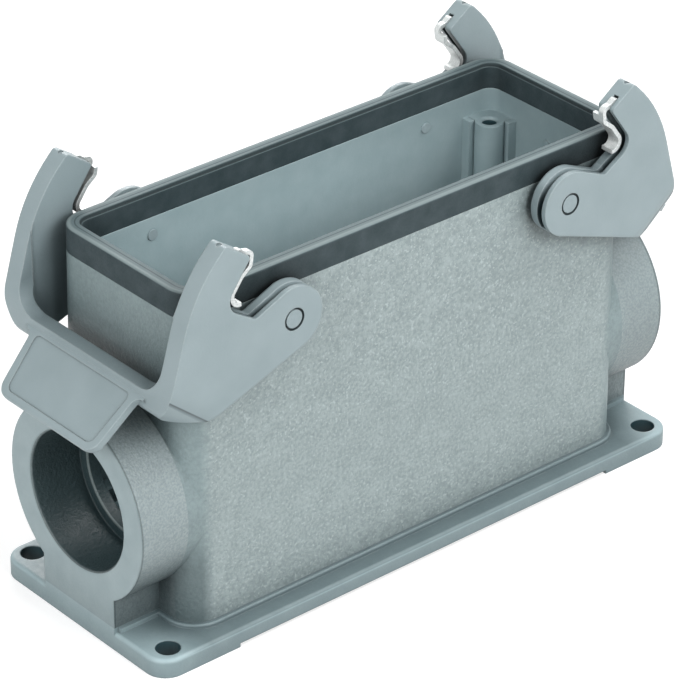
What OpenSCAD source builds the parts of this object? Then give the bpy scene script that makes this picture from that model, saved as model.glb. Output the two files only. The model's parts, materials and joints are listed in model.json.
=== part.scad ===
/* [Housing] */
// Length over the end walls, at the metal rim
body_l = 119.6; // [112:0.2:128]
// Width over the long walls, at the metal rim
body_w = 42.6; // [40:0.2:46]
// Radius of the upright corners, at the metal rim
corner_r = 6; // [4:0.5:8]
// Wall thickness at the metal rim
wall = 3.3; // [2.6:0.1:4]
// How far each wall leans out on its way down to the base plate
draft = 0.7; // [0.3:0.1:1.2]
// Radius of the upright corners of the cavity
cavity_r = 3; // [1.5:0.5:4]
// Height of the cavity floor above the mounting surface
floor_z = 5.2; // [4:0.2:8]
// Height of the metal rim above the top of the cable entries
rim_rise = 24.1; // [23:0.1:30]

/* [Base plate] */
// How far the base plate stands out beyond the long walls, on each side
plate_side = 5.95; // [5:0.05:9]
// Thickness of the base plate
plate_t = 4.3; // [3.4:0.1:6]
// Radius of the corners of the base plate
plate_r = 5; // [3:0.5:7]
// Rounding of the upper edge of the base plate
plate_edge = 0.9; // [0.4:0.1:1.6]
// Distance of the fixing holes from the ends of the base plate
hole_end = 5.1; // [4:0.1:6]
// Distance of the fixing holes from the long sides of the base plate
hole_side = 4.45; // [3.8:0.05:5]
// Diameter of the fixing holes
hole_d = 5.3; // [4:0.1:6]
// Length of the feet that the base plate rests on at each end
foot_l = 20.4; // [12:0.4:30]
// Height of the feet
foot_h = 0.9; // [0.4:0.1:1.5]
// Width of the step around the foot of the walls
ledge = 1; // [0.6:0.1:1.4]
// Height of that step
ledge_h = 1; // [0.6:0.1:1.6]

/* [Cable entries] */
// Height of the middle of the cable entries
entry_z = 30.3; // [28:0.1:34]
// Outer diameter of the cable entries
boss_d = 43.3; // [38:0.1:44]
// Diameter of the threaded bore
entry_d = 30.5; // [25:0.1:32]
// Distance of the entry faces from the end walls
entry_reach = 12.3; // [10:0.1:14]
// Thickness of the shoulder that the thread ends at
shoulder_t = 3; // [1:0.1:3.2]
// Diameter of the cable hole through the shoulder
cable_d = 25.6; // [20:0.2:27]
// How far the cable holes cut into the insert posts
post_relief = 2; // [0.5:0.1:3]
// Chamfer at the mouth of the bore
mouth_chamfer = 0.5; // [0.2:0.1:1]
// Width of the pedestal under each entry
pedestal_w = 23.4; // [18:0.2:30]

/* [Insert posts] */
// Distance of the insert screws from the cavity walls
post_inset = 4.5; // [4:0.1:5.5]
// Distance of the post tops below the metal rim
post_drop = 5.35; // [4:0.05:8]
// Radius of the round face of each post
post_r = 3.2; // [2.8:0.1:3.8]
// Thickness of the two ribs beside each post
rib_t = 1.4; // [1:0.1:2]
// How far the ribs stand off the cavity walls
rib_reach = 2.3; // [1.6:0.1:3]
// How far the flats of each post stand off its middle, towards the walls
post_flat = 2.24; // [2:0.02:2.6]
// Distance of the ribs from the middle of the post
rib_offset = 3.1; // [2.6:0.1:3.6]
// Diameter of the insert screw holes
screw_d = 3.3; // [2.5:0.1:4]
// Depth of the insert screw holes
screw_depth = 14; // [8:1:20]

/* [Rim seal] */
// Height of the seal above the metal rim
seal_h = 5.8; // [4:0.1:8]
// Thickness of the metal tongue inside the seal
tongue_t = 1.2; // [0.8:0.1:1.6]
// Height of the metal tongue
tongue_h = 3.6; // [2:0.1:5]
// Rounding of the upper edges of the seal
seal_edge = 0.6; // [0.3:0.1:0.9]
// Width of the step along the inner edge of the seal
seal_step = 0.5; // [0.3:0.1:0.8]
// Height of that step
seal_step_h = 0.7; // [0.4:0.1:1]

/* [Lever pivots] */
// Distance of the pivots from the end walls
pivot_inset = 22.4; // [20:0.2:26]
// Distance of the pivots below the metal rim
pivot_drop = 4.1; // [3.6:0.1:6]
// Diameter of the pivot pins
pin_d = 4; // [3:0.1:5]
// Diameter of the pin ends that show inside the cavity
pin_tail_d = 2.4; // [1.6:0.1:2.8]
// Radial clearance of the levers on the pins
pin_clear = 0.05; // [0.02:0.01:0.1]
// Diameter of the pads that carry the levers
pad_d = 8; // [6:0.5:10]

/* [Lever arms] */
// Gap between the rim and the arms
arm_gap = 1.7; // [1.2:0.1:3]
// Thickness of the arms
arm_t = 4.35; // [4:0.05:6]
// Thickness of the outer plate of each arm
outer_t = 1.1; // [0.8:0.1:1.4]
// Width of the spring slot between the plates
slot_w = 1.35; // [1:0.05:1.6]
// Depth of the spring slot below the edge of the arm
slot_depth = 3.6; // [3:0.1:4.5]
// Radius of the arm around the pivot
eye_r = 7.2; // [6.4:0.1:8]
// Distance of the lip of the notch from the pivot, outwards
lip_u = 9.85; // [9:0.05:10.5]
// Height of the lip of the notch above the pivot
lip_v = 3.6; // [3:0.1:4.5]
// Distance of the back of the notch from the pivot, outwards
seat_u = 17.8; // [17:0.1:19]
// Height of the back of the notch above the pivot
seat_v = 8.5; // [8:0.1:9.5]
// Radius of the seat of the locking peg
seat_r = 3.4; // [3:0.1:4]
// Distance of the nose of the hook from the pivot, outwards
nose_u = 11; // [10:0.1:12]
// Height of the nose of the hook above the pivot
nose_v = 18; // [17:0.1:20]
// Distance of the tip of the hook from the pivot, outwards
tip_u = 17.2; // [16:0.1:18.5]
// Height of the tip of the hook above the pivot
tip_v = 22.3; // [21:0.1:24]
// Radius of the curved back of the arm
back_r = 34; // [20:1:36]
// Distance of the corner of the curved back from the outer face of the cross bar
back_in = 6; // [5:0.2:8]
// Height of that corner below the tip of the hook
back_drop = 7.8; // [6:0.2:10]

/* [Lever frame] */
// Gap between the end wall and the cross bar
bar_gap = 5.4; // [4:0.1:8]
// Thickness of the cross bar
bar_t = 3.4; // [2.6:0.1:4.5]
// Height of the cross bar above the top of the cable entry
bar_rise = 6.5; // [5.8:0.1:9]
// Height of the cross bar at its outer face
bar_h = 5.2; // [4:0.1:6.5]
// Height of the heel of the arm above the lower edge of the cross bar
heel_rise = 6.7; // [5:0.1:9]
// Distance of the toe of the arm from the outer face of the cross bar
toe_in = 9.5; // [8:0.1:11]
// Depth of the toe below the lower edge of the cross bar
toe_drop = 2; // [0.8:0.1:2.4]
// Slope of the bends between the cross bar and the arms, in degrees
bend_slope = 39.5; // [34:0.5:44]
// Outer radius of the bends between the cross bar and the arms
bend_r = 7.5; // [6:0.1:9]
// Rounding of the upright outer corners of the frame
frame_r = 0.8; // [0.4:0.1:3]
// Rounding of the upright inner corners of the frame
nook_r = 2; // [1:0.5:4]
// Rounding of the lower corners of the opening in the frame
window_r = 6; // [3:0.5:8]

/* [Handles] */
// Slope of the handle plates below level, in degrees
handle_slope = 43.5; // [40:0.5:48]
// Thickness of the handle plates
handle_t = 1.7; // [1.4:0.1:2.4]
// Gap between the handle plates and the rims of the cable entries
handle_gap = 3.3; // [2.4:0.1:3.6]
// Width of the handle plates at the cross bar
handle_w = 34; // [26:0.5:40]
// How much narrower the handle plates are at their ends
handle_taper = 3.2; // [0:0.2:5]
// How far the handle plates reach beyond the rims of the cable entries
handle_reach = 5.6; // [3:0.2:9]
// Radius of the free corners of the handle plates
handle_r = 3.4; // [2:0.1:5]
// Radius of the inner corners between the handle plates and the cross bar
handle_root_r = 2; // [1:0.1:3]
// Width of the rim around the thumb recess
thumb_rim = 1.7; // [1.2:0.1:3]
// Depth of the thumb recess
thumb_depth = 0.3; // [0.2:0.1:0.5]

/* [Spring clips] */
// Thickness of the spring strip
clip_t = 0.9; // [0.6:0.1:1.1]
// Width of the spring strip
clip_w = 3.1; // [2.6:0.1:3.6]
// Gap between the strip and the flank of the hook
clip_gap = 1; // [0.7:0.1:1.2]
// Gap between the strip and the tip of the hook
clip_rise = 0.35; // [0.1:0.05:0.6]
// Radius of the bend around the nose of the hook
clip_bend = 1; // [0.7:0.1:1.2]
// How far the strip stands off the hook below its nose
clip_bulge = 0.8; // [0.4:0.1:1.2]
// Depth of that bend of the strip below the nose
clip_knee = 2.8; // [2:0.1:3.4]
// Distance of the shoulders, above which the strip is narrow, from its crown
clip_neck = 1.3; // [1.1:0.1:1.6]
// Depth of the tongue of the strip in the slot, below the part that lies on the nose
tongue_sink = 0.8; // [0.5:0.1:1]
// Turn of the curled lower end, in degrees
clip_curl = 135; // [100:5:180]

/* [Hidden] */
$fn = 96;

FRONT = -1;
REAR = 1;
LEFT = -1;
RIGHT = 1;
ENDS = [LEFT, RIGHT];
SIDES = [FRONT, REAR];

// A little more than a cut needs, so that it leaves no skin
over = 1;
// Longer than any piece, for cuts and envelopes
far = 120;
// Shortest straight edge left beside a rounding
least = 0.15;

boss_r = boss_d / 2;
boss_top = entry_z + boss_r;
body_top = boss_top + rim_rise;
half_l = body_l / 2;
half_w = body_w / 2;
face_x = half_l + entry_reach;
plate_l = 2 * face_x;
plate_w = body_w + 2 * plate_side;
cavity_l = body_l - 2 * wall;
cavity_w = body_w - 2 * wall;
hole_x = face_x - hole_end;
hole_y = plate_w / 2 - hole_side;
post_x = cavity_l / 2 - post_inset;
post_y = cavity_w / 2 - post_inset;
post_top = body_top - post_drop;

pivot_x = half_l - pivot_inset;
pivot_z = body_top - pivot_drop;
arm_in = half_w + arm_gap;
arm_out = arm_in + arm_t;
slot_out = arm_out - outer_t;
slot_in = slot_out - slot_w;
pad_play = 0.15;
pin_recess = 0.1;
pin_shoulder = 1.2;
pin_proud = 0.3;

// Lever outlines lie in a plane: the first value runs outwards, the second upwards, from the pivot
lip = [lip_u, lip_v];
seat = [seat_u, seat_v];
nose = [nose_u, nose_v];
tip = [tip_u, tip_v];
bar_in = pivot_inset + bar_gap;
bar_out = bar_in + bar_t;
bar_low = boss_top + bar_rise - pivot_z;
bar_top = bar_low + bar_h;
rim_edge = [pivot_inset + entry_reach, boss_top - pivot_z];

function unit(v) = v / norm(v);
function xy(p) = [p[0], p[1]];
function cross_z(a, b) = a[0] * b[1] - a[1] * b[0];
function but_last(v) = [for (i = [0:len(v) - 2]) v[i]];

// Where a line through p along d meets a line through q along e
function meet(p, d, q, e) = p + d * cross_z(q - p, e) / cross_z(d, e);

// Angle of one chord of an arc, fine enough to stay close to the true curve
function chord_angle(r) = min(15, 2 * acos(1 - min(0.9, 0.02 / r)));

// Points along an arc, from angle a0 through the signed angle sweep
function arc(centre, r, a0, sweep) =
    let (n = max(1, ceil(abs(sweep) / chord_angle(r))))
    [for (i = [0:n]) centre + r * [cos(a0 + sweep * i / n), sin(a0 + sweep * i / n)]];

// Middle of the arc of radius r that rounds the corner b between a and c
function fillet_centre(a, b, c, r) =
    let (u = unit(a - b), w = unit(c - b))
    b + unit(u + w) * r / sin(acos(u * w) / 2);

// Points that round the corner b between a and c
function fillet(a, b, c, r) =
    let (
        u = unit(a - b),
        w = unit(c - b),
        reach = r / tan(acos(u * w) / 2),
        m = fillet_centre(a, b, c, r),
        p = b + u * reach - m,
        q = b + w * reach - m
    )
    arc(m, r, atan2(p[1], p[0]), atan2(cross_z(p, q), p * q));

// Outline through corners [x, y, radius], closed or open
function rounded(path, closed = true) =
    let (n = len(path))
    [for (i = [0:n - 1])
        let (b = path[i], at_end = !closed && (i == 0 || i == n - 1))
        each (at_end || b[2] == 0)
            ? [xy(b)]
            : fillet(xy(path[(i + n - 1) % n]), xy(b), xy(path[(i + 1) % n]), b[2])];

// Strip of thickness t along an open path
function strip(path, t) =
    let (
        n = len(path),
        ahead = [for (i = [0:n - 1]) unit(path[min(i + 1, n - 1)] - path[max(i - 1, 0)])],
        aside = [for (d = ahead) [-d[1], d[0]] * t / 2]
    )
    concat(
        [for (i = [0:n - 1]) path[i] + aside[i]],
        [for (i = [n - 1:-1:0]) path[i] - aside[i]]
    );

// Where a line from the point g touches the circle of radius r around the pivot
function tangent(g, r, side) =
    let (a = atan2(g[1], g[0]) + side * acos(r / norm(g)))
    r * [cos(a), sin(a)];

lip_r = 0.8;
nose_r = 0.8;
tip_r = 1;
toe_r = 2;
heel_r = 12;
under_r = 2.4;
heel = [bar_out, bar_low + heel_rise];
back = [bar_out - back_in, tip_v - back_drop];
toe = [bar_out - toe_in, bar_low - toe_drop];
// The straight edges run this far inside the round of the eye, so that they cross it cleanly
eye_bite = 0.02;
arm_outline = rounded(concat(
    [concat(tangent(lip, eye_r - eye_bite, 1), 0)],
    [concat(lip, lip_r), concat(seat, seat_r), concat(nose, nose_r), concat(tip, tip_r)],
    [concat(back, back_r), concat(heel, heel_r), [bar_out, bar_low, under_r]],
    [concat(toe, toe_r), concat(tangent(toe, eye_r - eye_bite, -1), 0)]
));
seat_centre = fillet_centre(lip, seat, nose, seat_r);
hook_dir = unit(seat - nose);
hook_out = [-hook_dir[1], hook_dir[0]];
tip_dir = unit(tip - nose);
tip_out = [-tip_dir[1], tip_dir[0]];

// The slot is open all along the upper edge of the arm, and its floor follows that edge
slot_floor = seat_r + slot_depth;
slot_outline = [
    [-eye_r - over, -eye_r + slot_depth / 2],
    [lip_u + slot_depth, lip_v - slot_depth / 2],
    seat_centre + [slot_floor, 0],
    seat_centre + slot_floor * hook_out,
    nose + tip_dir * slot_depth - tip_out * slot_depth / 2,
    nose + tip_dir * slot_depth + tip_out * 2 * over,
    nose + [-far, slot_depth],
    [-far, -eye_r]
];

// Stands a profile (outwards, upwards) across the lever, to the width w
module across(w) {
    rotate([90, 0, 0])
        linear_extrude(w, center = true)
            children();
}

// Stands a profile (outwards, upwards) on both arms, from the distance y0 to y1 off the middle
module on_arms(y0, y1) {
    for (s = SIDES)
        translate([0, s * (y0 + y1) / 2, 0])
            across(y1 - y0)
                children();
}

// Round bar across the lever
module rod_across(r, w) {
    rotate([90, 0, 0])
        cylinder(h = w, r = r, center = true);
}

module rounded_rect(l, w, r) {
    square([l - 2 * r, w], center = true);
    square([l, w - 2 * r], center = true);
    for (x = ENDS, y = SIDES)
        translate([x * (l / 2 - r), y * (w / 2 - r)])
            circle(r);
}

// Rectangle whose two corners towards +X are rounded, and which reaches back to x0
module round_ended(x0, x1, w, r) {
    translate([x0, -w / 2])
        square([x1 - r - x0, w]);
    translate([x0, -w / 2 + r])
        square([x1 - x0, w - 2 * r]);
    for (y = SIDES)
        translate([x1 - r, y * (w / 2 - r)])
            circle(r);
}

// Runs a profile around a rounded rectangle: its first value is the distance from the corner centres
module around(l, w, r) {
    for (i = [0:3])
        translate([(i == 0 || i == 3 ? 1 : -1) * (l / 2 - r), (i < 2 ? 1 : -1) * (w / 2 - r), 0])
            rotate(90 * i)
                rotate_extrude(angle = 90)
                    children();
    for (a = [0, 180])
        rotate(a) {
            translate([0, w / 2 - r, 0])
                rotate([90, 0, 90])
                    linear_extrude(l - 2 * r, center = true)
                        children();
            translate([l / 2 - r, 0, 0])
                rotate([90, 0, 0])
                    linear_extrude(w - 2 * r, center = true)
                        children();
        }
}

// Slab with a rounded upper edge
module soft_slab(l, w, r, t, e) {
    translate([0, 0, t / 2])
        cube([l - 2 * r, w - 2 * r, t], center = true);
    around(l, w, r) {
        union() {
            square([r, t - e]);
            square([r - e, t]);
            translate([r - e, t - e])
                circle(e);
        }
    }
}

// Block with upright rounded corners, whose walls lean out towards the bottom
module drafted_block(l, w, r, lean, h) {
    for (x = ENDS, y = SIDES)
        translate([x * (l / 2 - r), y * (w / 2 - r), 0])
            cylinder(h = h, r1 = r + lean, r2 = r);
    rotate([90, 0, 0])
        linear_extrude(w - 2 * r, center = true)
            polygon([[-l / 2 - lean, 0], [l / 2 + lean, 0], [l / 2, h], [-l / 2, h]]);
    rotate([90, 0, 90])
        linear_extrude(l - 2 * r, center = true)
            polygon([[-w / 2 - lean, 0], [w / 2 + lean, 0], [w / 2, h], [-w / 2, h]]);
}

// Base plate with the low step that the walls stand on
module base_plate() {
    step = draft + ledge;
    soft_slab(plate_l, plate_w, plate_r, plate_t, plate_edge);
    soft_slab(body_l + 2 * step, body_w + 2 * step, corner_r + step, plate_t + ledge_h, ledge_h / 2);
    for (x = ENDS)
        translate([x * (face_x - over - half_l / 2), 0, (plate_t + ledge_h) / 2])
            cube([half_l, pedestal_w + 2 * ledge, plate_t + ledge_h], center = true);
}

// Round entry on its pedestal, at one end
module entry_boss(end) {
    translate([end * (face_x + post_x) / 2, 0, entry_z]) {
        rotate([0, 90, 0])
            cylinder(h = face_x - post_x, r = boss_r, center = true);
        translate([0, 0, -entry_z / 2])
            cube([face_x - post_x, pedestal_w, entry_z], center = true);
    }
}

module entry_bore(end) {
    thread_end = half_l - wall + shoulder_t;
    translate([end * thread_end, 0, entry_z])
        rotate([0, end * 90, 0]) {
            cylinder(h = face_x - thread_end + over, d = entry_d);
            translate([0, 0, face_x - thread_end - mouth_chamfer])
                cylinder(h = 2 * mouth_chamfer, d1 = entry_d, d2 = entry_d + 4 * mouth_chamfer);
            translate([0, 0, -shoulder_t - post_relief])
                cylinder(h = shoulder_t + post_relief + over, d = cable_d);
        }
}

// Corner post for one insert screw, with its two ribs
module post(x, y) {
    h = post_top - floor_z + over;
    wall_x = post_inset + over;
    translate([x * post_x, y * post_y, floor_z - over])
        mirror([x < 0 ? 1 : 0, 0, 0])
            mirror([0, y < 0 ? 1 : 0, 0]) {
                cylinder(h = h, r = post_r);
                linear_extrude(h)
                    polygon([[-post_flat, wall_x], [-post_flat, post_flat], [post_flat, -post_flat],
                             [wall_x, -post_flat], [wall_x, wall_x]]);
                translate([-rib_offset - rib_t / 2, post_inset - rib_reach, 0])
                    cube([rib_t, rib_reach + over, h]);
                translate([post_inset - rib_reach, -rib_offset - rib_t / 2, 0])
                    cube([rib_reach + over, rib_t, h]);
            }
}

module screw_hole(x, y) {
    lead_in = 0.4;
    translate([x * post_x, y * post_y, post_top - screw_depth])
        cylinder(h = screw_depth + over, d = screw_d);
    translate([x * post_x, y * post_y, post_top - lead_in])
        cylinder(h = 2 * lead_in, d1 = screw_d, d2 = screw_d + 4 * lead_in);
}

module housing() {
    wall_h = body_top - plate_t;
    pip_d = 1.6;
    pip_drop = 7;
    color([0.62, 0.67, 0.67])
        difference() {
            union() {
                difference() {
                    union() {
                        base_plate();
                        translate([0, 0, plate_t])
                            drafted_block(body_l, body_w, corner_r, draft, wall_h);
                        for (end = ENDS)
                            entry_boss(end);
                        for (x = ENDS, y = SIDES)
                            translate([x * pivot_x, y * (half_w + arm_in - pad_play) / 2, pivot_z])
                                rod_across(pad_d / 2, arm_in - pad_play - half_w);
                    }
                    translate([0, 0, floor_z])
                        linear_extrude(far)
                            rounded_rect(cavity_l, cavity_w, cavity_r);
                }
                for (x = ENDS, y = SIDES)
                    post(x, y);
                translate([0, 0, body_top - over])
                    linear_extrude(tongue_h + over)
                        difference() {
                            rounded_rect(body_l - wall + tongue_t, body_w - wall + tongue_t,
                                         corner_r - (wall - tongue_t) / 2);
                            rounded_rect(body_l - wall - tongue_t, body_w - wall - tongue_t,
                                         corner_r - (wall + tongue_t) / 2);
                        }
                for (end = ENDS)
                    translate([end * (cavity_l / 2 - pin_proud), 0, body_top - pip_drop])
                        rotate([0, end * 90, 0])
                            cylinder(h = over, d = pip_d);
            }
            for (end = ENDS)
                entry_bore(end);
            for (x = ENDS, y = SIDES) {
                screw_hole(x, y);
                translate([x * hole_x, y * hole_y, -over])
                    cylinder(h = plate_t + 2 * over, d = hole_d);
            }
            for (x = ENDS)
                translate([x * pivot_x, 0, pivot_z]) {
                    rod_across(pin_tail_d / 2, far);
                    for (s = SIDES)
                        translate([0, s * (cavity_w / 2 + pin_shoulder + far / 4), 0])
                            rod_across(pin_d / 2, far / 2);
                }
            cube([plate_l - 2 * foot_l, far, 2 * foot_h], center = true);
        }
}

// Rubber frame that sits over the tongue and closes the joint
module rim_seal() {
    in = corner_r - wall;
    mid = corner_r - wall / 2;
    color([0.22, 0.26, 0.27])
        translate([0, 0, body_top])
            around(body_l, body_w, corner_r) {
                difference() {
                    union() {
                        translate([in, 0])
                            square([wall, seal_h - seal_step_h]);
                        translate([in + seal_step, 0])
                            square([wall - seal_step - seal_edge, seal_h]);
                        translate([in + seal_step, 0])
                            square([wall - seal_step, seal_h - seal_edge]);
                        translate([corner_r - seal_edge, seal_h - seal_edge])
                            circle(seal_edge);
                    }
                    translate([mid - tongue_t / 2, -over])
                        square([tongue_t, tongue_h + over]);
                }
            }
}

// Arms and cross bar in one envelope, rounded along its lower and upright outer edges
module frame_envelope() {
    intersection() {
        union() {
            across(2 * arm_out)
                polygon(arm_outline);
            rod_across(eye_r, 2 * arm_out);
        }
        translate([bar_out, 0, bar_low])
            rotate([0, -bend_slope, 0])
                rotate([90, 0, 90])
                    linear_extrude(far, center = true) {
                        translate([-arm_out, bend_r])
                            square([2 * arm_out, far]);
                        translate([-arm_out + bend_r, 0])
                            square([2 * (arm_out - bend_r), far]);
                        for (s = SIDES)
                            translate([s * (arm_out - bend_r), bend_r])
                                circle(bend_r);
                    }
        linear_extrude(far, center = true)
            round_ended(-far / 2, bar_out, 2 * arm_out, frame_r);
    }
}

// Plate that the hand lifts, above the rim of the cable entry
module handle_plate() {
    nose_t = handle_t / 2;
    // Where the top of the plate meets the outer face of the cross bar
    crease = -(rim_edge[0] - bar_out + (handle_gap + handle_t) * sin(handle_slope)) / cos(handle_slope);
    root = crease - bar_t / 3 / cos(handle_slope);
    root_w = handle_w / 2 + handle_root_r + least;
    corner = crease + nose_t * tan(handle_slope);
    thumb_top = crease + thumb_rim / 2;
    end_w = handle_w / 2 - handle_taper / 2;
    translate([rim_edge[0], 0, rim_edge[1]])
        rotate([0, handle_slope, 0])
            translate([0, 0, handle_gap])
                difference() {
                    intersection() {
                        linear_extrude(handle_t)
                            polygon(rounded([
                                [root, -root_w, 0],
                                [corner, -root_w, 0],
                                [corner, -handle_w / 2, handle_root_r],
                                [handle_reach, -end_w, handle_r],
                                [handle_reach, end_w, handle_r],
                                [corner, handle_w / 2, handle_root_r],
                                [corner, root_w, 0],
                                [root, root_w, 0]
                            ]));
                        across(far) {
                            translate([root, 0])
                                square([handle_reach - nose_t - root, handle_t]);
                            translate([handle_reach - nose_t, nose_t])
                                circle(nose_t);
                        }
                    }
                    translate([0, 0, handle_t - thumb_depth])
                        linear_extrude(handle_t)
                            polygon(rounded([
                                [thumb_top, -handle_w / 2 + thumb_rim, handle_r / 3],
                                [handle_reach - thumb_rim, -end_w + thumb_rim, handle_r / 2],
                                [handle_reach - thumb_rim, end_w - thumb_rim, handle_r / 2],
                                [thumb_top, handle_w / 2 - thumb_rim, handle_r / 3]
                            ]));
                }
}

// Locking lever of the right end, with its pivot at the origin
module lever_body() {
    ring_w = 0.45;
    ring_depth = 0.5;
    dimple_r = 0.6;
    dimple_depth = 0.35;
    dimple_dir = unit(unit(tip - nose) + unit(tip - back));
    dimple = fillet_centre(nose, tip, back, tip_r) + (tip_r - dimple_depth) * dimple_dir;
    difference() {
        union() {
            difference() {
                frame_envelope();
                linear_extrude(far, center = true)
                    round_ended(-far / 2, bar_in, 2 * arm_in, nook_r);
                translate([bar_in - over, 0, bar_top])
                    rotate([90, 0, 90])
                        linear_extrude(far) {
                            translate([-arm_in, window_r])
                                square([2 * arm_in, far]);
                            translate([-arm_in + window_r, 0])
                                square([2 * (arm_in - window_r), far]);
                            for (s = SIDES)
                                translate([s * (arm_in - window_r), window_r])
                                    circle(window_r);
                        }
            }
            handle_plate();
        }
        on_arms(slot_in, slot_out)
            polygon(slot_outline);
        rod_across(pin_d / 2 + pin_clear, far);
        for (s = SIDES) {
            translate([0, s * (arm_out - ring_depth + far / 4), 0])
                rod_across(pin_d / 2 + ring_w, far / 2);
            translate([dimple[0], s * (arm_in + arm_t / 2), dimple[1]])
                rotate([0, atan2(dimple_dir[0], dimple_dir[1]), 0])
                    cylinder(h = 4 * dimple_depth, r = dimple_r);
        }
    }
}

module lever(end) {
    color([0.64, 0.69, 0.71])
        mirror([end < 0 ? 1 : 0, 0, 0])
            translate([pivot_x, 0, pivot_z])
                lever_body();
}

// Stainless strip that presses on the locking peg: a curled end, a nose and a tongue in the slot
module spring_clip(end, side) {
    curl_r = seat_r - clip_gap - clip_t / 2;
    curl_start = seat_centre + curl_r * hook_out;
    above_nose = nose + tip_out * (clip_rise + clip_t / 2);
    knee = nose - [clip_bulge, clip_knee];
    crown = meet(knee, [clip_bulge / 2, -clip_knee], above_nose, tip_dir);
    settle = nose - hook_out * (clip_gap + clip_t / 2) + hook_dir * (clip_knee + 2 * clip_t);
    dip = nose + tip_dir * clip_t + tip_out * (clip_rise + clip_t / 2 - tongue_sink);
    bend = dip + tip_dir * (slot_depth - 2 * clip_t);
    tongue_end = bend - tip_out * (slot_depth - tongue_sink);
    down = unit(knee - crown);
    wide = concat(
        but_last(rounded([
            concat(crown + down * clip_neck, 0),
            concat(knee, clip_bend),
            concat(settle, clip_bend),
            concat(curl_start, 0)
        ], closed = false)),
        arc(seat_centre, curl_r, atan2(hook_out[1], hook_out[0]), -clip_curl)
    );
    narrow = rounded([
        concat(crown + down * (clip_neck + clip_t / 2), 0),
        concat(crown, clip_bend),
        concat(dip, clip_bend / 2),
        concat(bend, clip_bend / 2),
        concat(tongue_end, 0)
    ], closed = false);
    color([0.86, 0.88, 0.88])
        mirror([end < 0 ? 1 : 0, 0, 0])
            translate([pivot_x, 0, pivot_z])
                mirror([0, side < 0 ? 1 : 0, 0]) {
                    translate([0, slot_out - clip_w / 2, 0])
                        across(clip_w)
                            polygon(strip(wide, clip_t));
                    translate([0, (slot_in + slot_out) / 2, 0])
                        across(slot_w)
                            polygon(strip(narrow, clip_t));
                }
}

// Pin pressed into the wall from outside, with a thin tail that shows in the cavity
module pivot_pin(end, side) {
    y_in = cavity_w / 2;
    tail = pin_proud + pin_shoulder;
    color([0.6, 0.64, 0.65])
        mirror([end < 0 ? 1 : 0, 0, 0])
            mirror([0, side < 0 ? 1 : 0, 0])
                translate([pivot_x, y_in + pin_shoulder, pivot_z])
                    rotate([-90, 0, 0]) {
                        cylinder(h = arm_out - pin_recess - y_in - pin_shoulder, d = pin_d);
                        translate([0, 0, -tail])
                            cylinder(h = tail + over, d = pin_tail_d);
                    }
}

housing();
rim_seal();
lever(LEFT);  // lever_left
lever(RIGHT);  // lever_right
spring_clip(LEFT, FRONT);  // spring_clip_left_front
spring_clip(LEFT, REAR);  // spring_clip_left_rear
spring_clip(RIGHT, FRONT);  // spring_clip_right_front
spring_clip(RIGHT, REAR);  // spring_clip_right_rear
pivot_pin(LEFT, FRONT);  // pivot_pin_left_front
pivot_pin(LEFT, REAR);  // pivot_pin_left_rear
pivot_pin(RIGHT, FRONT);  // pivot_pin_right_front
pivot_pin(RIGHT, REAR);  // pivot_pin_right_rear
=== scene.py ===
import json
from types import SimpleNamespace

import bpy
from mathutils import Matrix, Vector


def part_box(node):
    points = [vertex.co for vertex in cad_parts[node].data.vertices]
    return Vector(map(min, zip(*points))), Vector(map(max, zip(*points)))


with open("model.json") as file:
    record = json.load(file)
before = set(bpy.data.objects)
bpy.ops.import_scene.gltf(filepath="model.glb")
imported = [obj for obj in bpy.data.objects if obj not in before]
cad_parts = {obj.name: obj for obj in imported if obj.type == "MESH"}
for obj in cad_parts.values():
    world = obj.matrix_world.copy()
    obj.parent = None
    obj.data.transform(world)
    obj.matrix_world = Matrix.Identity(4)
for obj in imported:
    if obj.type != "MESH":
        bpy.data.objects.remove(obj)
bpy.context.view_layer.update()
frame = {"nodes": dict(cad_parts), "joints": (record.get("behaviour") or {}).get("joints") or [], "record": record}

MM = 0.001
BLUR = 0.1 * MM
WHITE = (1.0, 1.0, 1.0)

# Sizes that the frame gives. A hole's mask reaches one blur into the wall round it
MOUNTS = {mount["name"]: mount for mount in frame["record"]["mounts"]}
FIXING = MOUNTS["base_fixing_holes"]["dims"]
HOLE_X = FIXING["spacing_x_mm"] / 2 * MM
HOLE_Y = FIXING["spacing_y_mm"] / 2 * MM
HOLE_R = FIXING["hole_r_mm"] * MM + BLUR
INSERT = MOUNTS["insert_screws"]["dims"]
SCREW_X = INSERT["spacing_x_mm"] / 2 * MM
SCREW_Y = INSERT["spacing_y_mm"] / 2 * MM
SCREW_R = INSERT["hole_r_mm"] * MM + BLUR
ENTRY = MOUNTS["cable_entry_right"]
ENTRY_Z = ENTRY["pos_m"][2]
BORE_R = ENTRY["dims"]["r_mm"] * MM + BLUR
PIVOT = frame["joints"][0]["pos_m"]
PIVOT_X = abs(PIVOT[0])
PIVOT_Z = PIVOT[2]
SEAL_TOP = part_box("rim_seal")[1][2]

# Places on the housing: X and Y out from the middle, Z up from the feet
CAVITY_X = 56.7 * MM
CAVITY_Y = 18.2 * MM
WALL_X = 60.3 * MM
WALL_Y = 21.6 * MM
CORNER_X = 55.4 * MM
CORNER_FADE = 2.6 * MM
FACE_X = 71.95 * MM
FACE_EDGE = 0.35 * MM
PLATE_TOP = 4.1 * MM
LEDGE_TOP = 5.35 * MM
PAD_Z = 62.0 * MM
SCREW_TOP = 70.0 * MM
CABLE_X = 51.0 * MM
CABLE_R = 12.8 * MM
LIP_WIDTH = 0.35 * MM
LIP_DEPTH = 1.2 * MM

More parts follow.
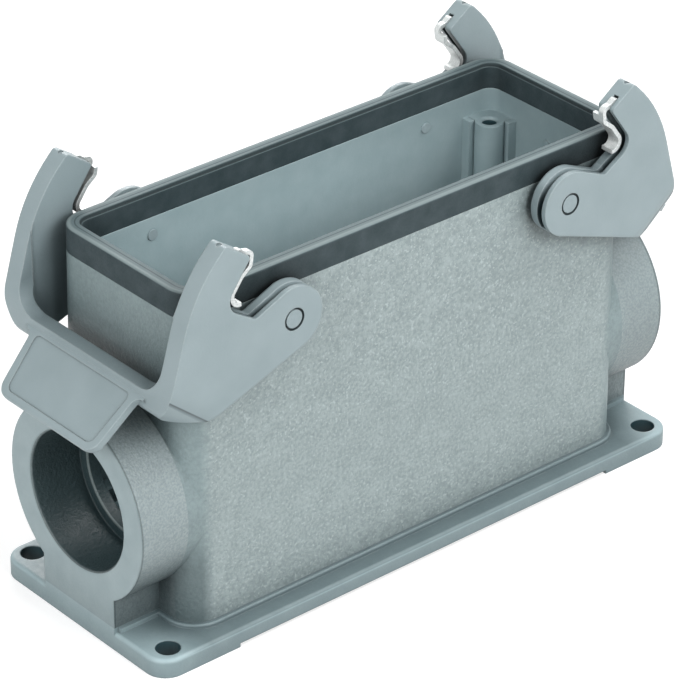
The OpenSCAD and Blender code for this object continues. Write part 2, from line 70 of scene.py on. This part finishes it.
# Places on the levers, round the pivot and out from the middle
PIN_R = 2.02 * MM
RING_R = 2.5 * MM
RING_Y = 26.7 * MM
EYE_REACH = 12.0 * MM
SLOT_IN = 23.3 * MM
SLOT_OUT = 26.8 * MM
SLOT_Z = PIVOT_Z + 3.0 * MM
SLOT_FADE = 5.0 * MM
SIDEWAYS = 0.9
SIDEWAYS_FADE = 0.05

# Places on the seal: the straight runs' ends, and distances out from a corner's centre
SEAL_FLAT_X = 53.8 * MM
SEAL_FLAT_Y = 15.3 * MM
SEAL_SKIN = 0.2 * MM
SEAL_STEP_Z = SEAL_TOP - 0.85 * MM
SEAL_STEP_R = 3.2 * MM
SEAL_GROOVE_R = 2.85 * MM
SEAL_CREASE_R = 4.0 * MM
SEAL_CREASE_WIDTH = 0.3 * MM
SEAL_RIM_R = 5.0 * MM
SEAL_RIM_FADE = 0.4 * MM


# Camera, at the photograph's viewpoint
CAMERA_AT = (-0.46495, -0.53666, 0.45387)
CAMERA_RIGHT = (0.75960, -0.65040, 0.00630)
CAMERA_BACK = (-0.56470, -0.65460, 0.50260)
CAMERA_LENS = 206.12
SENSOR = 36.0


def add_camera():
    """Puts the camera at the photograph's viewpoint."""
    data = bpy.data.cameras.new("camera")
    data.lens = CAMERA_LENS
    data.sensor_width = SENSOR
    back = Vector(CAMERA_BACK).normalized()
    right = Vector(CAMERA_RIGHT)
    right = (right - back * right.dot(back)).normalized()
    up = back.cross(right)
    camera = bpy.data.objects.new("camera", data)
    turn = Matrix((right, up, back)).transposed()
    camera.matrix_world = Matrix.Translation(CAMERA_AT) @ turn.to_4x4()
    bpy.context.scene.collection.objects.link(camera)
    bpy.context.scene.camera = camera


# Lamps: each one's place in metres and its power in watts
LIGHT_SIZE = 0.5
LIGHT_TARGET = (0.0, 0.0, 0.05)
LIGHTS = {
    "key_light": ((0.0, -0.75, 0.56), 4.9),
    "top_light": ((0.50, -0.20, 0.80), 3.8),
    "left_light": ((-0.84, -0.15, 0.42), 4.2),
    "back_light": ((0.45, 0.80, 0.40), 5.0),
}


def add_area_light(name, place, power):
    """Adds a round soft lamp that faces the object."""
    data = bpy.data.lights.new(name, "AREA")
    data.shape = "DISK"
    data.size = LIGHT_SIZE
    data.energy = power
    light = bpy.data.objects.new(name, data)
    aim = Vector(LIGHT_TARGET) - Vector(place)
    turn = aim.to_track_quat("-Z", "Y").to_matrix()
    light.matrix_world = Matrix.Translation(place) @ turn.to_4x4()
    bpy.context.scene.collection.objects.link(light)


def add_lights():
    for name, (place, power) in LIGHTS.items():
        add_area_light(name, place, power)


# Node building
EDGE_SAMPLES = 6
EDGE_FLAT = 0.995
EDGE_ROUND = 0.86
SHELTER_SAMPLES = 8
SHELTER_CLOSED = 0.22
SHELTER_OPEN = 0.95
NOISE_LOW = 0.3
NOISE_HIGH = 0.7
NOISE_ROUGH = 0.5
DETAIL_LOW = 1.0
DETAIL_MID = 2.0
DETAIL_HIGH = 3.0


def new_material(name):
    """Makes a material with one Principled shader and gives both."""
    material = bpy.data.materials.new(name)
    material.use_nodes = True
    nodes = material.node_tree.nodes
    nodes.clear()
    shader = nodes.new("ShaderNodeBsdfPrincipled")
    output = nodes.new("ShaderNodeOutputMaterial")
    material.node_tree.links.new(shader.outputs["BSDF"], output.inputs["Surface"])
    return material, shader


class Nodes:
    """Adds and links shader nodes in one material."""

    def __init__(self, material):
        self.tree = material.node_tree

    def add(self, kind, **settings):
        node = self.tree.nodes.new(kind)
        for name, value in settings.items():
            setattr(node, name, value)
        return node

    def link(self, source, target):
        self.tree.links.new(source, target)

    def math(self, operation, first, second):
        node = self.add("ShaderNodeMath", operation=operation)
        for socket, value in zip(node.inputs, (first, second)):
            if isinstance(value, float):
                socket.default_value = value
            else:
                self.link(value, socket)
        return node.outputs["Value"]

    def minus(self, first, second):
        return self.math("SUBTRACT", first, second)

    def times(self, first, second):
        return self.math("MULTIPLY", first, second)

    def size(self, value):
        node = self.add("ShaderNodeMath", operation="ABSOLUTE")
        self.link(value, node.inputs[0])
        return node.outputs["Value"]

    def remap(self, value, low, high, to_low=0.0, to_high=1.0):
        node = self.add("ShaderNodeMapRange")
        node.inputs["From Min"].default_value = low
        node.inputs["From Max"].default_value = high
        node.inputs["To Min"].default_value = to_low
        node.inputs["To Max"].default_value = to_high
        self.link(value, node.inputs["Value"])
        return node.outputs["Result"]

    def place(self):
        return self.add("ShaderNodeTexCoord").outputs["Object"]

    def axes(self):
        """The place's X, Y and Z in metres, as they are when the piece is at rest."""
        node = self.add("ShaderNodeSeparateXYZ")
        self.link(self.place(), node.inputs["Vector"])
        return node.outputs["X"], node.outputs["Y"], node.outputs["Z"]

    def facing(self, axis):
        """How far the surface faces along one of the piece's own axes, either way."""
        node = self.add("ShaderNodeSeparateXYZ")
        self.link(self.add("ShaderNodeTexCoord").outputs["Normal"], node.inputs["Vector"])
        return self.size(node.outputs[axis])

    def reach(self, first, second):
        """Distance from an axis, out of the two distances across it."""
        node = self.add("ShaderNodeCombineXYZ")
        self.link(first, node.inputs["X"])
        self.link(second, node.inputs["Y"])
        length = self.add("ShaderNodeVectorMath", operation="LENGTH")
        self.link(node.outputs["Vector"], length.inputs[0])
        return length.outputs["Value"]

    def above(self, value, limit, blur=BLUR):
        """Mask of where the value is over the limit."""
        return self.remap(value, limit - blur / 2, limit + blur / 2)

    def below(self, value, limit, blur=BLUR):
        """Mask of where the value is under the limit."""
        return self.remap(value, limit + blur / 2, limit - blur / 2)

    def both(self, *masks):
        """Mask of where all the masks meet."""
        result = masks[0]
        for mask in masks[1:]:
            result = self.times(result, mask)
        return result

    def either(self, *masks):
        """Mask of where any of the masks is, and the greatest of several values."""
        result = masks[0]
        for mask in masks[1:]:
            result = self.math("MAXIMUM", result, mask)
        return result

    def between(self, value, low, high):
        """Mask of where the value is over low and under high."""
        return self.both(self.above(value, low), self.below(value, high))

    def within(self, across, along, centre, radius):
        """Mask of the round places whose centres lie at the given distances out."""
        reach = self.reach(self.minus(across, centre[0]), self.minus(along, centre[1]))
        return self.below(reach, radius)

    def fade(self, mask, value):
        """Goes from 1 outside a mask to the value inside it."""
        return self.remap(mask, 0.0, 1.0, 1.0, value)

    def noise(self, per_mm, detail, rough=NOISE_ROUGH, stretch=(1.0, 1.0, 1.0)):
        """Noise in the object's own space, with about per_mm features in each millimetre."""
        mapping = self.add("ShaderNodeMapping")
        mapping.inputs["Scale"].default_value = stretch
        texture = self.add("ShaderNodeTexNoise")
        texture.inputs["Scale"].default_value = per_mm / MM
        texture.inputs["Detail"].default_value = detail
        texture.inputs["Roughness"].default_value = rough
        self.link(self.place(), mapping.inputs["Vector"])
        self.link(mapping.outputs["Vector"], texture.inputs["Vector"])
        return texture.outputs["Fac"]

    def spread(self, noise, low=0.0, high=1.0):
        """Stretches the middle of a noise, where most of it lies, over low to high."""
        return self.remap(noise, NOISE_LOW, NOISE_HIGH, low, high)

    def mix(self, factor, first, second):
        node = self.add("ShaderNodeMix", data_type="RGBA")
        colours = [socket for socket in node.inputs if socket.type == "RGBA"]
        self.link(factor, node.inputs["Factor"])
        for socket, value in zip(colours, (first, second)):
            if isinstance(value, tuple):
                socket.default_value = (*value, 1.0)
            else:
                self.link(value, socket)
        return next(socket for socket in node.outputs if socket.type == "RGBA")

    def scaled(self, colour, value):
        node = self.add("ShaderNodeVectorMath", operation="SCALE")
        self.link(colour, node.inputs[0])
        self.link(value, node.inputs["Scale"])
        return node.outputs["Vector"]

    def bump(self, height, depth, under):
        """Bumps of the given depth on top of another normal."""
        node = self.add("ShaderNodeBump")
        node.inputs["Distance"].default_value = depth
        self.link(height, node.inputs["Height"])
        self.link(under, node.inputs["Normal"])
        return node.outputs["Normal"]

    def soft_edge(self, radius):
        """A normal that rounds the piece's edges."""
        node = self.add("ShaderNodeBevel", samples=EDGE_SAMPLES)
        node.inputs["Radius"].default_value = radius
        return node.outputs["Normal"]

    def edge(self, rounded):
        """Is 1 on the rounded edges and 0 on the faces between them."""
        dot = self.add("ShaderNodeVectorMath", operation="DOT_PRODUCT")
        self.link(rounded, dot.inputs[0])
        self.link(self.add("ShaderNodeNewGeometry").outputs["Normal"], dot.inputs[1])
        return self.remap(dot.outputs["Value"], EDGE_FLAT, EDGE_ROUND)

    def painted_nook_shade(self, distance, low):
        """Painted shade: falls from 1 in the open to low in the nooks, where the surface is drawn darker."""
        node = self.add("ShaderNodeAmbientOcclusion", samples=SHELTER_SAMPLES)
        node.inputs["Distance"].default_value = distance
        return self.remap(node.outputs["AO"], SHELTER_CLOSED, SHELTER_OPEN, low, 1.0)


# Painted nook shade, fine bumps and patches that several materials share
NOOK_SHADE_COLOUR = (0.0, 0.012, 0.016)
NOOK_REACH = 18.0 * MM
NOOK_LOW = 0.25
FINE_DEPTH = 0.02 * MM
PATCH_RANGE = (0.3, 0.6)

# Cast housing
CAST_DARK = (0.262, 0.322, 0.328)
CAST_LIGHT = (0.368, 0.440, 0.444)
CAST_SPARK = (0.480, 0.560, 0.562)
# End walls and their corners: a darker copy of the coat, as painted shade
END_SHADE_DARK = (0.212, 0.276, 0.284)
END_SHADE_LIGHT = (0.260, 0.335, 0.344)
BOSS_DARK = (0.262, 0.320, 0.332)
BOSS_LIGHT = (0.330, 0.392, 0.400)
FLAT_DARK = (0.305, 0.388, 0.408)
FLAT_LIGHT = (0.345, 0.432, 0.450)
PLATE_DARK = (0.304, 0.400, 0.424)
PLATE_LIGHT = (0.344, 0.446, 0.468)
# Cavity walls: a smooth, bluer coat, painted lighter as painted light reaching into the cavity
LIT_INSIDE_DARK = (0.376, 0.493, 0.518)
LIT_INSIDE_LIGHT = (0.418, 0.534, 0.559)
# Painted shade inside the cable bores and along the entries' face edges
BORE_SHADE_COLOUR = (0.062, 0.094, 0.100)
LIP_COLOUR = (0.330, 0.400, 0.400)
# Painted shade inside the fixing and screw holes
HOLE_SHADE_COLOUR = (0.040, 0.088, 0.102)
FACE_EDGE_SHADE_SHARE = 0.55

GRAIN_PER_MM = 1.15
GRAIN_ROUGH = 0.6
GRAIN_RANGE = (0.34, 0.66)
GRAIN_DEPTH = 0.22 * MM
SMOOTH_GRIT = 0.12
CLOUD_PER_MM = 0.22
CLOUD_TONE = 0.2
SPARK_PER_MM = 1.7
SPARK_RANGE = (0.60, 0.72)
SPARK_SHARE = 0.8
SPECK_PER_MM = 2.1
SPECK_RANGE = (0.38, 0.62)
FINE_PER_MM = 3.0
CAST_ROUND = 0.5 * MM
CAST_ROUGHNESS = (0.40, 0.56)

# Shade that is painted on where the photograph shows the housing darker or lighter
FOOT_TOP = 22.0 * MM
FOOT_FADE = 8.0 * MM
STRIP_X = FACE_X - 9.0 * MM
STRIP_LOW = 3.8 * MM
STRIP_FADE = 8.0 * MM
DIM_SHARE = 0.56
PLATE_END_SHARE = 1.25
INSIDE_LEAST = 0.95
BOSS_LEAST = 0.75
BOSS_FADE = 12.0 * MM
CAVITY_SHADE_X = (10.0 * MM, 57.0 * MM)
CAVITY_SHADE_X_SHARE = 0.72
CAVITY_SHADE_Z = (62.0 * MM, 88.0 * MM)
CAVITY_SHADE_Z_SHARE = 0.68
RIGHT_END_X = (58.0 * MM, 62.0 * MM)
RIGHT_END_SHARE = 0.88


def cast_places(nodes):
    """Masks of the housing's places that differ in finish or in painted shade and light, each 1 inside its place.
    """
    x, y, z = nodes.axes()
    off_x, off_y = nodes.size(x), nodes.size(y)
    at = SimpleNamespace(x=x, z=z)
    at.inside = nodes.both(nodes.below(off_x, CAVITY_X), nodes.below(off_y, CAVITY_Y))
    at.plate = nodes.below(z, LEDGE_TOP)
    at.boss = nodes.above(off_x, WALL_X)
    at.boss_top = nodes.both(at.boss, nodes.above(z, ENTRY_Z, BOSS_FADE))
    at.end_wall = nodes.above(off_x, CORNER_X, CORNER_FADE)
    pads = nodes.both(nodes.above(off_y, WALL_Y), nodes.above(z, PAD_Z))
    at.smooth = nodes.either(at.inside, pads, nodes.above(off_x, FACE_X), at.plate)

    above_ledge = nodes.above(z, LEDGE_TOP)
    behind_face = nodes.below(off_x, FACE_X)
    at.face_edge = nodes.both(nodes.above(off_x, FACE_X - FACE_EDGE), behind_face, above_ledge)
    from_entry = nodes.reach(y, nodes.minus(z, ENTRY_Z))
    at.bore = nodes.both(nodes.below(from_entry, BORE_R), nodes.above(off_x, CABLE_X))
    lip_ring = nodes.between(from_entry, CABLE_R - BLUR, CABLE_R + LIP_WIDTH)
    at.lip = nodes.both(lip_ring, nodes.above(off_x, WALL_X - LIP_DEPTH))
    fixing = nodes.within(off_x, off_y, (HOLE_X, HOLE_Y), HOLE_R)
    screw = nodes.within(off_x, off_y, (SCREW_X, SCREW_Y), SCREW_R)
    fixing_hole = nodes.both(fixing, nodes.below(z, PLATE_TOP))
    screw_hole = nodes.both(screw, nodes.below(z, SCREW_TOP))
    at.holes = nodes.either(fixing_hole, screw_hole)

    # Painted shade on the foot of the left end and on the plate's long strips
    left_foot = nodes.both(nodes.below(x, 0.0), nodes.below(z, FOOT_TOP, FOOT_FADE), above_ledge)
    foot = nodes.both(behind_face, at.end_wall, left_foot)
    strip = nodes.both(at.plate, nodes.above(z, STRIP_LOW), nodes.below(off_x, STRIP_X, STRIP_FADE))
    at.dim = nodes.either(foot, strip)
    at.plate_ends = nodes.both(at.plate, nodes.above(off_x, STRIP_X, STRIP_FADE))
    return at


def cast_colour(nodes, at, grain):
    """The coat's colour in the open: gritty walls, bosses and smooth faces, with painted shade on the end walls,
    face edges, bores and holes, and painted light in the cavity.
    """
    cloud = nodes.noise(CLOUD_PER_MM, DETAIL_MID)
    clouds = nodes.spread(cloud)
    cloud_tone = nodes.spread(cloud, -CLOUD_TONE, CLOUD_TONE)
    tone = nodes.math("ADD", nodes.remap(grain, *GRAIN_RANGE), cloud_tone)
    sparks = nodes.remap(nodes.noise(SPARK_PER_MM, DETAIL_LOW), *SPARK_RANGE, 0.0, SPARK_SHARE)
    specks = nodes.remap(nodes.noise(SPECK_PER_MM, DETAIL_MID), *SPECK_RANGE)

    rough = nodes.mix(sparks, nodes.mix(tone, CAST_DARK, CAST_LIGHT), CAST_SPARK)
    # Painted shade on the end walls and their corners
    rough = nodes.mix(at.end_wall, rough, nodes.mix(tone, END_SHADE_DARK, END_SHADE_LIGHT))
    rough = nodes.mix(at.boss, rough, nodes.mix(specks, BOSS_DARK, BOSS_LIGHT))
    flat = nodes.mix(clouds, FLAT_DARK, FLAT_LIGHT)
    flat = nodes.mix(at.inside, flat, nodes.mix(clouds, LIT_INSIDE_DARK, LIT_INSIDE_LIGHT))
    flat = nodes.mix(at.plate, flat, nodes.mix(clouds, PLATE_DARK, PLATE_LIGHT))

    coat = nodes.mix(at.smooth, rough, flat)
    # A thin line of painted shade along the outer edge of each entry's machined face
    coat = nodes.mix(nodes.times(at.face_edge, FACE_EDGE_SHADE_SHARE), coat, BORE_SHADE_COLOUR)
    # Painted shade inside the cable bores
    coat = nodes.mix(at.bore, coat, BORE_SHADE_COLOUR)
    coat = nodes.mix(at.lip, coat, LIP_COLOUR)
    # Painted shade inside the fixing and screw holes
    return nodes.mix(at.holes, coat, HOLE_SHADE_COLOUR)


def cast_shade(nodes, at):
    """Painted shade of the housing: how light it is in its nooks, dim places, cavity and right end."""
    least = nodes.either(nodes.times(at.inside, INSIDE_LEAST), nodes.times(at.boss_top, BOSS_LEAST))
    shade = nodes.either(nodes.painted_nook_shade(NOOK_REACH, NOOK_LOW), least)
    shade = nodes.times(shade, nodes.fade(at.dim, DIM_SHARE))
    to_right = nodes.remap(nodes.times(at.inside, at.x), *CAVITY_SHADE_X, 1.0, CAVITY_SHADE_X_SHARE)
    to_rim = nodes.remap(nodes.times(at.inside, at.z), *CAVITY_SHADE_Z, 1.0, CAVITY_SHADE_Z_SHARE)
    right_end = nodes.remap(at.x, *RIGHT_END_X, 1.0, RIGHT_END_SHARE)
    return nodes.both(shade, to_right, to_rim, right_end)


def cast_paint():
    """Grey coat: gritty over the cast walls, smooth on the machined faces, the plate and inside."""
    material, shader = new_material("housing_paint")
    nodes = Nodes(material)
    at = cast_places(nodes)
    grain = nodes.noise(GRAIN_PER_MM, DETAIL_HIGH, rough=GRAIN_ROUGH)
    # Painted light on the plate's ends, then the painted shade from cast_shade over the whole coat
    coat = nodes.scaled(cast_colour(nodes, at, grain), nodes.fade(at.plate_ends, PLATE_END_SHARE))
    nodes.link(nodes.mix(cast_shade(nodes, at), NOOK_SHADE_COLOUR, coat), shader.inputs["Base Color"])
    nodes.link(nodes.spread(grain, *CAST_ROUGHNESS), shader.inputs["Roughness"])

    grit = nodes.times(grain, nodes.fade(at.smooth, SMOOTH_GRIT))
    coarse = nodes.bump(grit, GRAIN_DEPTH, nodes.soft_edge(CAST_ROUND))
    fine = nodes.noise(FINE_PER_MM, DETAIL_MID)
    nodes.link(nodes.bump(fine, FINE_DEPTH, coarse), shader.inputs["Normal"])
    return material


# Levers
LEVER_DARK = (0.285, 0.358, 0.378)
LEVER_LIGHT = (0.318, 0.394, 0.415)
LEVER_EDGE_HIGHLIGHT = (0.420, 0.495, 0.510)
RING_SHADE_COLOUR = (0.040, 0.055, 0.060)
SLOT_SHADE_COLOUR = (0.070, 0.096, 0.104)
WAVE_PER_MM = 0.12
COAT_PER_MM = 1.6
LEVER_ROUND = 0.45 * MM
LEVER_ROUGHNESS = (0.38, 0.48)
EDGE_HIGHLIGHT_SHARE = (0.3, 0.9)


def lever_places(nodes):
    """Masks of the painted shade in the ring round the pin and in the slot in the arm's edge, and of the slot's
    lit top.
    """
    x, y, z = nodes.axes()
    off_y = nodes.size(y)
    from_pivot = nodes.reach(nodes.minus(nodes.size(x), PIVOT_X), nodes.minus(z, PIVOT_Z))
    gap = nodes.between(off_y, SLOT_IN, SLOT_OUT)
    gap_low = nodes.both(gap, nodes.below(z, SLOT_Z, SLOT_FADE))
    gap_high = nodes.both(gap, nodes.above(z, SLOT_Z, SLOT_FADE))
    cheeks = nodes.above(nodes.facing("Y"), SIDEWAYS, SIDEWAYS_FADE)
    at = SimpleNamespace()
    at.ring = nodes.both(nodes.between(from_pivot, PIN_R, RING_R), nodes.above(off_y, RING_Y))
    at.slot = nodes.both(cheeks, gap_low)
    at.slot_top = nodes.both(gap_high, nodes.below(from_pivot, EYE_REACH))
    return at


def lever_paint():
    """Smooth satin coat, with a patchy painted highlight along the edges."""
    material, shader = new_material("lever_paint")
    nodes = Nodes(material)
    at = lever_places(nodes)
    fine = nodes.noise(COAT_PER_MM, DETAIL_HIGH)
    wave = nodes.noise(WAVE_PER_MM, DETAIL_MID)
    rounded = nodes.soft_edge(LEVER_ROUND)
    coat = nodes.mix(nodes.spread(wave), LEVER_DARK, LEVER_LIGHT)
    # Painted highlight along the rounded edges, broken into patches by the fine noise
    edge_highlight = nodes.times(nodes.edge(rounded), nodes.remap(fine, *PATCH_RANGE, *EDGE_HIGHLIGHT_SHARE))
    coat = nodes.mix(edge_highlight, coat, LEVER_EDGE_HIGHLIGHT)
    # Painted shade on the slot's sides below its top
    coat = nodes.mix(at.slot, coat, SLOT_SHADE_COLOUR)
    # Painted shade in the ring round the pin
    coat = nodes.mix(at.ring, coat, RING_SHADE_COLOUR)
    # Painted shade in the nooks, spared on the slot's lit top
    shade = nodes.either(nodes.painted_nook_shade(NOOK_REACH, NOOK_LOW), at.slot_top)
    nodes.link(nodes.mix(shade, NOOK_SHADE_COLOUR, coat), shader.inputs["Base Color"])
    nodes.link(nodes.spread(fine, *LEVER_ROUGHNESS), shader.inputs["Roughness"])
    nodes.link(nodes.bump(fine, FINE_DEPTH, rounded), shader.inputs["Normal"])
    return material


# Seal
RUBBER_DARK = (0.033, 0.052, 0.058)
RUBBER_LIGHT = (0.056, 0.078, 0.086)
RUBBER_TOP_SHEEN = (0.140, 0.190, 0.200)
RUBBER_RIM_HIGHLIGHT = (0.250, 0.310, 0.315)
RUBBER_CLOUD_PER_MM = 0.25
RUBBER_FINE_PER_MM = 2.5
RUBBER_ROUND = 0.4 * MM
RUBBER_ROUGHNESS = (0.55, 0.72)
RUBBER_SPECULAR = 0.25
RUBBER_NOOK_REACH = 24.0 * MM
RUBBER_NOOK_LOW = 0.10
TOP_SHEEN_SHARE = (0.8, 1.0)
STEP_SHARE = 0.7
RIM_HIGHLIGHT_SHARE = 0.8
CREASE_SHADE_SHARE = 0.8
SHADE_LINE_SHARE = 0.85


def seal_places(nodes):
    """Masks of the painted sheen on the seal's top and step, the painted highlight on its outer rim, and the
    painted shade lines between them.
    """
    x, y, z = nodes.axes()
    past_x = nodes.either(nodes.minus(nodes.size(x), SEAL_FLAT_X), 0.0)
    past_y = nodes.either(nodes.minus(nodes.size(y), SEAL_FLAT_Y), 0.0)
    from_corner = nodes.reach(past_x, past_y)
    top = nodes.above(z, SEAL_TOP - SEAL_SKIN, SEAL_SKIN)
    step = nodes.both(nodes.above(z, SEAL_STEP_Z), nodes.below(from_corner, SEAL_STEP_R))
    groove = nodes.both(step, nodes.above(from_corner, SEAL_GROOVE_R, SEAL_SKIN))
    crease_ring = nodes.between(from_corner, SEAL_CREASE_R, SEAL_CREASE_R + SEAL_CREASE_WIDTH)
    crease = nodes.both(top, crease_ring)
    at = SimpleNamespace()
    at.pale = nodes.either(top, nodes.times(step, STEP_SHARE))
    at.rim = nodes.both(top, nodes.above(from_corner, SEAL_RIM_R, SEAL_RIM_FADE))
    at.lines = nodes.either(groove, nodes.times(crease, CREASE_SHADE_SHARE))
    return at


def seal_rubber():
    """Matt black rubber, greyer on top from a painted sheen."""
    material, shader = new_material("seal_rubber")
    nodes = Nodes(material)
    at = seal_places(nodes)
    fine = nodes.noise(RUBBER_FINE_PER_MM, DETAIL_MID)
    cloud = nodes.noise(RUBBER_CLOUD_PER_MM, DETAIL_HIGH)
    # Painted sheen on the seal's top and step, patchy with the fine noise
    pale = nodes.times(at.pale, nodes.remap(fine, *PATCH_RANGE, *TOP_SHEEN_SHARE))
    skin = nodes.mix(nodes.spread(cloud), RUBBER_DARK, RUBBER_LIGHT)
    skin = nodes.mix(pale, skin, RUBBER_TOP_SHEEN)
    # Painted highlight along the seal top's outer rim
    skin = nodes.mix(nodes.times(at.rim, RIM_HIGHLIGHT_SHARE), skin, RUBBER_RIM_HIGHLIGHT)
    # Painted shade lines at the step's riser and across the seal's top
    skin = nodes.mix(nodes.times(at.lines, SHADE_LINE_SHARE), skin, RUBBER_DARK)
    # Painted shade where the levers and clips close the seal in
    shade = nodes.painted_nook_shade(RUBBER_NOOK_REACH, RUBBER_NOOK_LOW)
    nodes.link(nodes.scaled(skin, shade), shader.inputs["Base Color"])
    nodes.link(nodes.spread(fine, *RUBBER_ROUGHNESS), shader.inputs["Roughness"])
    shader.inputs["Specular IOR Level"].default_value = RUBBER_SPECULAR
    nodes.link(nodes.bump(fine, FINE_DEPTH, nodes.soft_edge(RUBBER_ROUND)), shader.inputs["Normal"])
    return material


# Spring clips and pins
STEEL_DARK = (0.56, 0.60, 0.60)
STEEL_LIGHT = (0.86, 0.89, 0.88)
STEEL_METALLIC = 0.5
STEEL_NOOK_REACH = 6.0 * MM
STEEL_NOOK_LOW = 0.35
STEEL_ROUND = 0.15 * MM
SCRATCH_PER_MM = 2.0
SCRATCH_STRETCH = (1.0, 8.0, 1.0)
SCRATCH_DEPTH = 0.01 * MM
METAL_ROUGHNESS = (0.34, 0.46)
PIN_PER_MM = 1.2
PIN_ROUND = 0.2 * MM


def spring_steel():
    """Bright rolled strip with fine scratches, with painted shade where the hook shelters it."""
    material, shader = new_material("spring_steel")
    nodes = Nodes(material)
    scratch = nodes.noise(SCRATCH_PER_MM, DETAIL_HIGH, stretch=SCRATCH_STRETCH)
    rounded = nodes.soft_edge(STEEL_ROUND)
    steel = nodes.mix(nodes.spread(scratch), STEEL_DARK, STEEL_LIGHT)
    # Painted shade where the hook shelters the strip
    shade = nodes.painted_nook_shade(STEEL_NOOK_REACH, STEEL_NOOK_LOW)
    nodes.link(nodes.scaled(steel, shade), shader.inputs["Base Color"])
    nodes.link(nodes.spread(scratch, *METAL_ROUGHNESS), shader.inputs["Roughness"])
    shader.inputs["Metallic"].default_value = STEEL_METALLIC
    nodes.link(nodes.bump(scratch, SCRATCH_DEPTH, rounded), shader.inputs["Normal"])
    return material


def pin_metal():
    """Pin ends, coated like the levers but a little glossier."""
    material, shader = new_material("pin_metal")
    nodes = Nodes(material)
    fine = nodes.noise(PIN_PER_MM, DETAIL_HIGH)
    nodes.link(nodes.mix(nodes.spread(fine), LEVER_DARK, LEVER_LIGHT), shader.inputs["Base Color"])
    nodes.link(nodes.spread(fine, *METAL_ROUGHNESS), shader.inputs["Roughness"])
    nodes.link(nodes.bump(fine, FINE_DEPTH, nodes.soft_edge(PIN_ROUND)), shader.inputs["Normal"])
    return material


def dress_nodes():
    """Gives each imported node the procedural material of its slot."""
    makers = {
        "housing_paint": cast_paint,
        "lever_paint": lever_paint,
        "seal_rubber": seal_rubber,
        "spring_steel": spring_steel,
        "pin_metal": pin_metal,
    }
    made = {slot: maker() for slot, maker in makers.items()}
    for part in frame["record"]["subparts"]:
        node = frame["nodes"][part["node"]]
        node.data.materials.clear()
        node.data.materials.append(made[part["material_slot"]])


# Floor and world: white where the camera sees them, plain soft light for the object
FLOOR_HALF = 3.0
FLOOR_COLOUR = (0.55, 0.55, 0.55)
FLOOR_ROUGHNESS = 0.9
FLOOR_GLOW = 0.62
FLOOR_GLOW_FAR = 0.90
FLOOR_NEAR = 0.35
FLOOR_FAR = 1.6
WORLD_LIGHT = 0.20


def seen_directly(tree):
    """Is 1 for what the camera sees, also by way of gloss or glass, and 0 for other light."""
    path = tree.nodes.new("ShaderNodeLightPath")
    result = path.outputs["Is Camera Ray"]
    for other in ("Is Glossy Ray", "Is Transmission Ray"):
        node = tree.nodes.new("ShaderNodeMath")
        node.operation = "MAXIMUM"
        tree.links.new(result, node.inputs[0])
        tree.links.new(path.outputs[other], node.inputs[1])
        result = node.outputs["Value"]
    return result


def floor_white():
    """Pale floor that keeps the object's shadow and grows whiter away from it."""
    material, shader = new_material("floor_white")
    shader.inputs["Base Color"].default_value = (*FLOOR_COLOUR, 1.0)
    shader.inputs["Roughness"].default_value = FLOOR_ROUGHNESS
    shader.inputs["Specular IOR Level"].default_value = 0.0
    shader.inputs["Emission Color"].default_value = (*WHITE, 1.0)
    nodes = Nodes(material)
    from_middle = nodes.reach(*nodes.axes()[:2])
    glow = nodes.remap(from_middle, FLOOR_NEAR, FLOOR_FAR, FLOOR_GLOW, FLOOR_GLOW_FAR)
    glow = nodes.times(seen_directly(material.node_tree), glow)
    nodes.link(glow, shader.inputs["Emission Strength"])
    return material


def add_floor():
    corners = ((-1, -1), (1, -1), (1, 1), (-1, 1))
    points = [(x * FLOOR_HALF, y * FLOOR_HALF, 0.0) for x, y in corners]
    mesh = bpy.data.meshes.new("floor")
    mesh.from_pydata(points, [], [(0, 1, 2, 3)])
    mesh.materials.append(floor_white())
    floor = bpy.data.objects.new("floor", mesh)
    bpy.context.scene.collection.objects.link(floor)


def add_world():
    """White backdrop for the camera, and an even soft light on the object."""
    world = bpy.data.worlds.new("world")
    world.use_nodes = True
    tree = world.node_tree
    tree.nodes.clear()
    soft = tree.nodes.new("ShaderNodeBackground")
    seen = tree.nodes.new("ShaderNodeBackground")
    mix = tree.nodes.new("ShaderNodeMixShader")
    output = tree.nodes.new("ShaderNodeOutputWorld")
    for backdrop, strength in ((soft, WORLD_LIGHT), (seen, 1.0)):
        backdrop.inputs["Color"].default_value = (*WHITE, 1.0)
        backdrop.inputs["Strength"].default_value = strength
    tree.links.new(seen_directly(tree), mix.inputs["Fac"])
    tree.links.new(soft.outputs["Background"], mix.inputs[1])
    tree.links.new(seen.outputs["Background"], mix.inputs[2])
    tree.links.new(mix.outputs["Shader"], output.inputs["Surface"])
    bpy.context.scene.world = world


add_camera()
add_lights()
add_world()
add_floor()
dress_nodes()

bpy.context.scene.view_settings.view_transform = "Standard"
